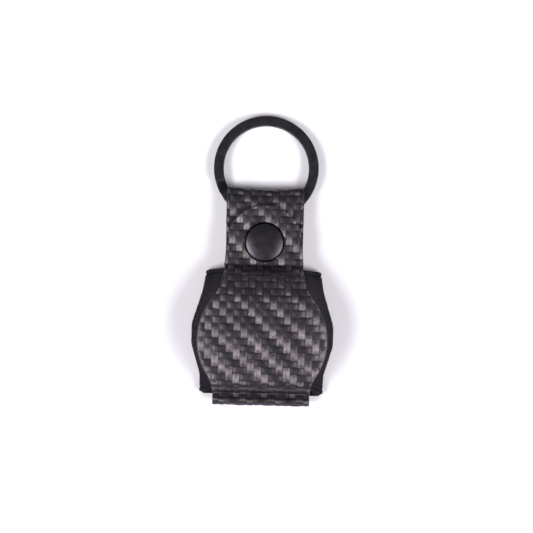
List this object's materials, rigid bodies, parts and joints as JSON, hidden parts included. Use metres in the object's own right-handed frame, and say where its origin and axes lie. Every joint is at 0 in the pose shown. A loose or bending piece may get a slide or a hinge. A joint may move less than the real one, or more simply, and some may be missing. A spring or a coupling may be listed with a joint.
{
  "type": "key organiser",
  "caption": "Folded strap key organiser: a split ring in a loop, an elastic sleeve round a coin tag, and a flap closed by a press stud.",
  "frame": {"origin": "on the resting back face of the elastic sleeve, at the middle of the tag", "axes": "+X across the strap, +Y along the strap towards the key ring, +Z out of the front"},
  "size_m": [0.0404, 0.0828, 0.013],
  "materials": {
    "outer_leather": "twill-embossed, semi-gloss coating",
    "lining_leather": "smooth matte",
    "elastic": "ribbed woven elastic",
    "thread": "twisted polyester thread",
    "black_metal": "satin black lacquer",
    "snap_metal": "black oxide",
    "spring_steel": "drawn wire",
    "ring_metal": "matte black",
    "tag_plastic": "polished",
    "tag_steel": "fine brushed",
    "board": "solder mask"
  },
  "bodies": {
    "strap": {"strap_face": "outer_leather", "strap_lining": "lining_leather", "elastic_sleeve": "elastic", "sleeve_stitching": "thread", "snap_stud": "snap_metal", "snap_post": "black_metal", "tag_cover": "tag_steel", "tag_shell": "tag_plastic", "tag_cell": "tag_steel", "tag_board": "board"},
    "flap": {"flap_face": "outer_leather", "flap_lining": "lining_leather", "snap_cap": "black_metal", "snap_socket": "snap_metal", "snap_spring": "spring_steel"},
    "key_ring": {"split_ring": "ring_metal"}
  },
  "joints": [
    {"name": "flap_hinge", "type": "hinge", "parent": "strap", "child": "flap", "pos_m": [0, -0.02095, 0.0032], "axis": [1, 0, 0], "range_deg": [0, 135]},
    {"name": "ring_spin", "type": "hinge", "parent": "strap", "child": "key_ring", "pos_m": [0, 0.04675, 0.00209], "axis": [0, 0.0593, 0.9982], "continuous": true}
  ]
}
